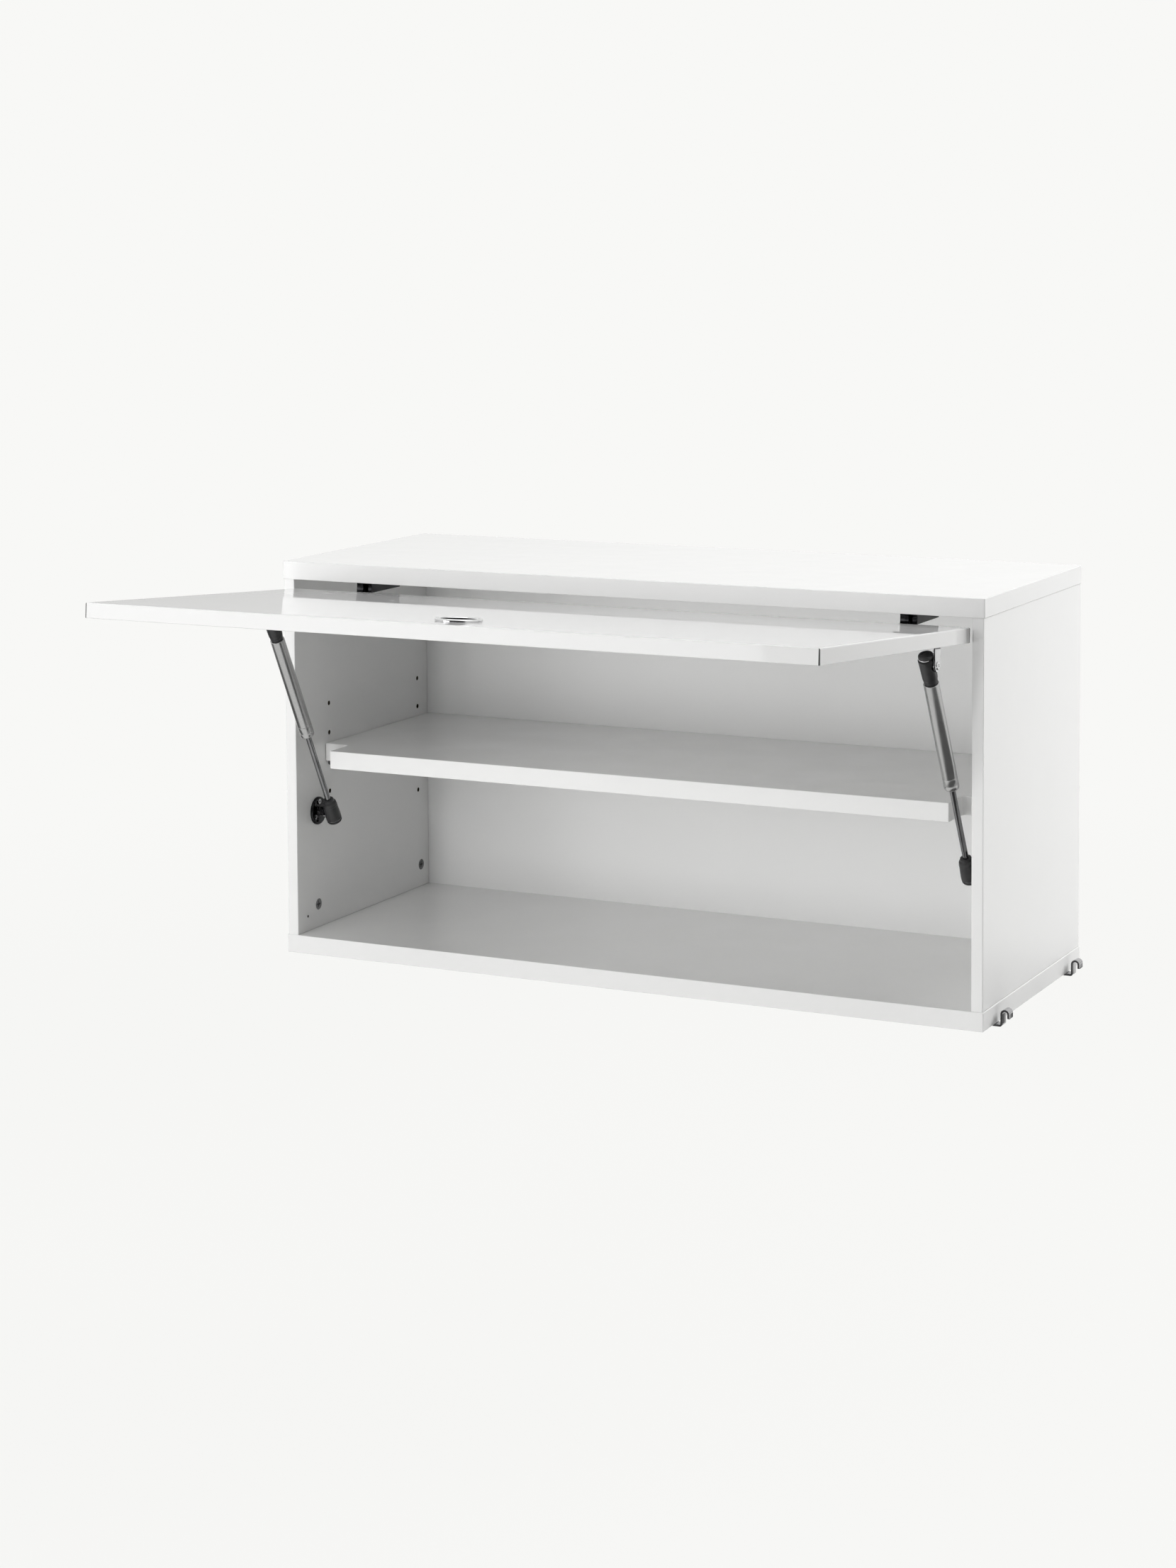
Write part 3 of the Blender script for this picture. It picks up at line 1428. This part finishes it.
    def bracket_shell(self) -> Shell:
        """Flap bracket at the closed flap: a bent sheet whose leg narrows to a round end."""
        c, (foot, leg), tip = self.sizes, self.bracket_foot, self.bracket_tip
        y0 = c.door_back + c.bracket_sheet / 2
        path = polyline([(foot, y0, 0.0), (leg, y0, 1.8),
                         (leg, c.door_back + self.ball_off + tip, 0.0)], 0.3)
        along = run_along(path)
        left = along[-1] - along
        narrow = self.bracket_half - (self.bracket_half - tip) * smooth(left, 20.0, 7.0)
        end = np.sqrt(np.maximum(tip**2 - np.maximum(tip - left, 0.0) ** 2, 0.12**2))
        half = np.minimum(
            narrow - corner_inset(along, self.bracket_corner), np.where(left < tip, end, narrow))
        flat = np.column_stack([path, np.full(len(path), c.bracket_level)])
        up = np.array([0.0, 0.0, 1.0])
        return bent_strip(flat, up, c.bracket_sheet, half, self.sheet_edge)

    def build(self) -> None:
        """Makes both struts."""
        shop, c = self.shop, self.sizes
        upside_down = np.diag([1.0, 1.0, -1.0])
        upper, lower = map(self.socket_shell, (self.upper_outline(), self.lower_outline()))
        clip = self.clip_shell()
        plate = self.plate_shell().turned(TO_LEFT).moved(
            (c.side_in - c.plate_thick, *c.plate_centre))
        stud = self.stud_shell().turned(TO_RIGHT).moved((self.x, *self.upper))
        rows = (
            ("strut_tube", self.placed(self.tube_shell()), Finish.TUBE, "tube"),
            ("strut_collar", self.placed(self.collar_shell()), Finish.TUBE, "tube"),
            ("upper_socket", self.placed(upper), Finish.PLASTIC, "tube"),
            ("upper_clip", self.placed(clip), Finish.CHROME, "tube"),
            ("strut_rod", self.placed(self.rod_shell()), Finish.ROD, "rod"),
            ("lower_socket", self.placed(lower.turned(upside_down), True), Finish.PLASTIC, "rod"),
            ("lower_clip", self.placed(clip.turned(upside_down), True), Finish.ROD, "rod"),
            ("strut_wall_plate", plate, Finish.NICKEL, "carcass"),
            ("upper_ball_stud", stud, Finish.CHROME, "flap"),
            ("flap_bracket", self.axis.open(self.bracket_shell()), Finish.BRACKET_CHROME, "flap"),
        )
        for side in Side:
            for node, shell, finish, body in rows:
                name = f"{node}_{side.word}"
                own = f"{body}_{side.word}" if body in ("tube", "rod") else body
                shop.piece(name + "_fine", shell.on(side), finish, own, (name,))
            shop.dress(Finish.CHROME, "lower_ball_stud_" + side.word)
            shop.dress(Finish.PISTON, "strut_piston_" + side.word)


@dataclass
class Hooks(Assembly):
    """The four hooks under the ends of the bottom panel."""

    foot: float = 358.0
    leg: float = 398.4
    bend: float = 1.7
    arch: float = 3.5
    arch_top: float = 14.0
    tip: float = 6.0
    sheet_edge: float = 0.35
    half: float = 6.0
    corner: float = 1.2

    def shell(self) -> Shell:
        """One hook at y = 0, with the corners of its ends rounded."""
        sheet, over = self.sizes.hook_sheet, self.leg + 2 * self.arch
        path = polyline([
            (self.foot, -sheet / 2, 0.0), (self.leg, -sheet / 2, self.bend),
            (self.leg, self.arch_top, self.arch), (over, self.arch_top, self.arch),
            (over, self.tip, 0.0)], 0.35)
        along = run_along(path)
        half = self.half - corner_inset(np.minimum(along, along[-1] - along), self.corner)
        points = np.column_stack([path[:, 0], np.zeros(len(path)), path[:, 1]])
        return bent_strip(points, np.array([0.0, 1.0, 0.0]), sheet, half, self.sheet_edge)

    def build(self) -> None:
        """Makes the four hooks."""
        hook = self.shell()
        for end, y in zip(("front", "rear"), self.sizes.hook_lines):
            for side in Side:
                node = f"hook_{end}_{side.word}"
                self.shop.piece(node + "_fine", hook.moved((0.0, y, 0.0)).on(side),
                                Finish.HOOK_ZINC, "carcass", (node,))


@dataclass
class Hinges(Assembly):
    """The two hinges: copies of their plates, arms, links and cups with eased edges.

    Attributes:
        ease: Width of each part's eased edges.
        shortest: Edges shorter than this stay sharp.
    """

    ease: dict[str, float] = field(default_factory=lambda: {
        "plate": 0.3, "arm": 0.5, "link": 0.2, "cup": 0.2})
    shortest: float = 1.2

    def build(self) -> None:
        """Eases the edges of every part."""
        for side in Side:
            for part, width in self.ease.items():
                self.shop.eased(f"hinge_{part}_{side.word}", Finish.NICKEL, width, self.shortest)


# ------------------------------------------------------------------ studio


@dataclass(frozen=True)
class Lamp:
    """One softbox: where it stands, what it looks at, its size in metres and its watts.

    One that isn't mirrored gives diffuse light alone, as a large bounce does.
    """

    name: str
    place: Triple
    target: Triple
    wide: float
    high: float
    watts: float
    mirrored: bool = True

    def build(self) -> None:
        """Adds the lamp to the scene."""
        light = bpy.data.lights.new(self.name, "AREA")
        light.shape = "RECTANGLE"
        light.size, light.size_y, light.energy = self.wide, self.high, self.watts
        lamp = bpy.data.objects.new(self.name, light)
        lamp.location = self.place
        way = Vector(self.target) - Vector(self.place)
        lamp.rotation_euler = way.to_track_quat("-Z", "Y").to_euler()
        lamp.visible_camera = False
        lamp.visible_glossy = self.mirrored
        bpy.context.scene.collection.objects.link(lamp)


@dataclass(frozen=True)
class Camera:
    """The photograph's viewpoint: a long lens with a moderate downward shift."""

    place: Triple = (1.3952, -3.1378, 0.8052)
    yaw: float = 25.803
    pitch: float = 4.417
    roll: float = -0.271
    lens: float = 72.688
    sensor: float = 36.0
    shift: Pair = (-0.03, -0.22)
    clip: Pair = (0.05, 60.0)

    def build(self) -> None:
        """Adds the camera and makes it the scene's."""
        data = bpy.data.cameras.new("camera")
        data.lens, data.sensor_width = self.lens, self.sensor
        data.shift_x, data.shift_y = self.shift
        data.clip_start, data.clip_end = self.clip
        camera = bpy.data.objects.new("camera", data)
        yaw, pitch, roll = (math.radians(v) for v in (self.yaw, self.pitch, self.roll))
        ahead = Vector((-math.sin(yaw) * math.cos(pitch), math.cos(yaw) * math.cos(pitch),
                        -math.sin(pitch)))
        right = Vector((math.cos(yaw), math.sin(yaw), 0.0))
        up = right.cross(ahead)
        side = right * math.cos(roll) + up * math.sin(roll)
        top = up * math.cos(roll) - right * math.sin(roll)
        columns = (side, top, -ahead, Vector(self.place))
        camera.matrix_world = Matrix([*zip(*columns), (0.0, 0.0, 0.0, 1.0)])
        bpy.context.scene.collection.objects.link(camera)
        bpy.context.scene.camera = camera


# Rays that see floor and surroundings pale; the others are lit by them
SEEN_BY = ("Camera", "Glossy", "Transmission")


@dataclass(frozen=True)
class Studio:
    """Pale floor, pale surroundings and softboxes.

    Glossy rays see parts of the room dark, so that polished metal has something to mirror.

    Attributes:
        pale: Colour of floor and surroundings where they are seen.
        dark: Colour of their dark parts.
        floor_color: Colour of the floor that catches the shadow.
        ambient: Strength of the surroundings as a source of light.
        floor_level: Height of the floor, in metres as all lengths here.
        floor_reach: Half of the floor's size.
        floor_share: Share of the floor that is painted and not lit, close to the cabinet.
        floor_fade: Distances at which this share begins to rise and is one.
        spots: x, y, dark radius and pale radius of each dark spot on the floor.
        dark_way: Direction of the unlit end of the room.
        dark_edge: How far a ray points that way where the dark begins and is full.
        dark_share: How dark it is.
        horizon: Heights of a ray at which the horizon's dark is full and ends, and its share.
        lamps: The softboxes.
    """

    pale: Triple = (0.938, 0.938, 0.922)
    dark: Triple = (0.02, 0.02, 0.02)
    floor_color: Triple = (0.8, 0.8, 0.79)
    ambient: float = 0.045
    floor_level: float = -0.42
    floor_reach: float = 12.0
    floor_share: float = 0.955
    floor_fade: Pair = (1.0, 3.2)
    spots: tuple[tuple[float, float, float, float], ...] = (
        (0.92, -0.05, 0.76, 1.05),
        (-1.35, -0.05, 0.6, 0.85),
        (0.93, 1.3, 0.15, 0.5),
        (-1.6, -5.0, 2.2, 3.0),
    )
    dark_way: Triple = (0.2, -0.98, 0.0)
    dark_edge: Pair = (0.45, 0.8)
    dark_share: float = 0.95
    horizon: Triple = (0.035, 0.075, 0.36)
    lamps: tuple[Lamp, ...] = (
        Lamp("key", (-3.4, -3.1, 0.35), (0.0, -0.15, 0.2), 2.9, 3.4, 54.0, False),
        Lamp("kicker", (-1.4, -2.8, 0.15), (0.1, -0.1, 0.2), 1.5, 1.4, 12.0),
        Lamp("low", (-0.45, -3.2, 0.0), (-0.4, -0.15, 0.2), 0.5, 1.2, 20.0, False),
        Lamp("high", (-0.35, -3.0, 1.3), (-0.3, -0.15, 0.3), 0.6, 1.0, 14.0, False),
        Lamp("brow", (0.0, -1.4, 2.6), (0.0, -0.2, 0.4), 2.0, 1.2, 21.0, False),
        Lamp("top", (0.0, -0.2, 2.6), (0.0, -0.2, 0.4), 2.4, 2.4, 21.0),
        Lamp("end", (2.0, 1.6, 1.6), (0.3, -0.15, 0.2), 1.6, 1.6, 80.0, False),
    )

    def seen(self, tree: Tree, kind: str, share: Socket) -> bpy.types.Node:
        """A shader of the pale colour, which glossy rays see go dark.

        Args:
            tree: The tree that it stands in.
            kind: Its type.
            share: How dark it is.

        Returns:
            The shader.
        """
        glossy = tree.math("MULTIPLY", share, tree.rays("Glossy"))
        return tree.add(kind, {"Color": tree.mixed(glossy, self.pale, self.dark)})

    def finish(
        self, tree: Tree, output: str, share: Socket, lit: bpy.types.Node, seen: bpy.types.Node
    ) -> None:
        """Ends a tree with a mix that shows the second shader by a share.

        Args:
            tree: The tree.
            output: Kind of its output.
            share: Share of the second shader.
            lit: The first shader.
            seen: The second shader.
        """
        mix = tree.add("MixShader", {0: share, 1: lit.outputs[0], 2: seen.outputs[0]})
        tree.add("Output" + output, {"Surface": mix.outputs[0]})

    def build_world(self) -> None:
        """The surroundings: pale where they are seen, softer as a source of light."""
        world = bpy.data.worlds.new("studio")
        bpy.context.scene.world = world
        tree = Tree.blank(world)
        way = tree.add("TexCoord").outputs["Generated"]
        ahead, level = tree.vector("DOT_PRODUCT", way, self.dark_way), tree.parts(way)["Z"]
        *near, share = self.horizon
        dark = tree.greatest(
            tree.ranged(ahead, 0.0, self.dark_share, self.dark_edge, soft=True),
            tree.ranged(tree.math("ABSOLUTE", level), share, 0.0, near, soft=True))
        glow = tree.add("Background", {"Color": (1.0, 1.0, 1.0, 1.0), "Strength": self.ambient})
        self.finish(tree, "World", tree.rays(*SEEN_BY), glow, self.seen(tree, "Background", dark))

    def build_floor(self) -> None:
        """A wide floor well below the cabinet, which keeps a soft share of its shadow."""
        mesh = bpy.data.meshes.new("floor")
        r, z = self.floor_reach, self.floor_level
        mesh.from_pydata([(-r, -r, z), (r, -r, z), (r, r, z), (-r, r, z)], [], [(0, 1, 2, 3)])
        floor = bpy.data.objects.new("floor", mesh)
        bpy.context.scene.collection.objects.link(floor)
        material = bpy.data.materials.new("pale_floor")
        tree = Tree.blank(material)
        place = tree.add("TexCoord").outputs["Object"]
        spots = [(tree.vector("DISTANCE", place, (x, y, z)), edge) for x, y, *edge in self.spots]
        dark = tree.greatest(*(
            tree.ranged(away, self.dark_share, 0.0, edge, soft=True) for away, edge in spots))
        away = tree.vector("LENGTH", place)
        fade = tree.ranged(away, self.floor_share, 1.0, self.floor_fade, soft=True)
        share = tree.math("MULTIPLY", tree.rays(*SEEN_BY), fade)
        lit = tree.add("BsdfDiffuse", {"Color": (*self.floor_color, 1.0)})
        self.finish(tree, "Material", share, lit, self.seen(tree, "Emission", dark))
        mesh.materials.append(material)

    def build(self) -> None:
        """Sets the view transform and adds world, floor and lamps."""
        bpy.context.scene.view_settings.view_transform = "Standard"
        self.build_world()
        self.build_floor()
        for lamp in self.lamps:
            lamp.build()


def main() -> None:
    """Builds camera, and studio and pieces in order."""
    logging.basicConfig(level=logging.INFO, format="%(name)s: %(message)s")
    Camera().build()
    Studio().build()
    shop = Workshop()
    for kind in (Carcass, Flap, Fasteners, Struts, Hooks, Hinges):
        kind(shop).build()


if __name__ == "__main__":
    main()
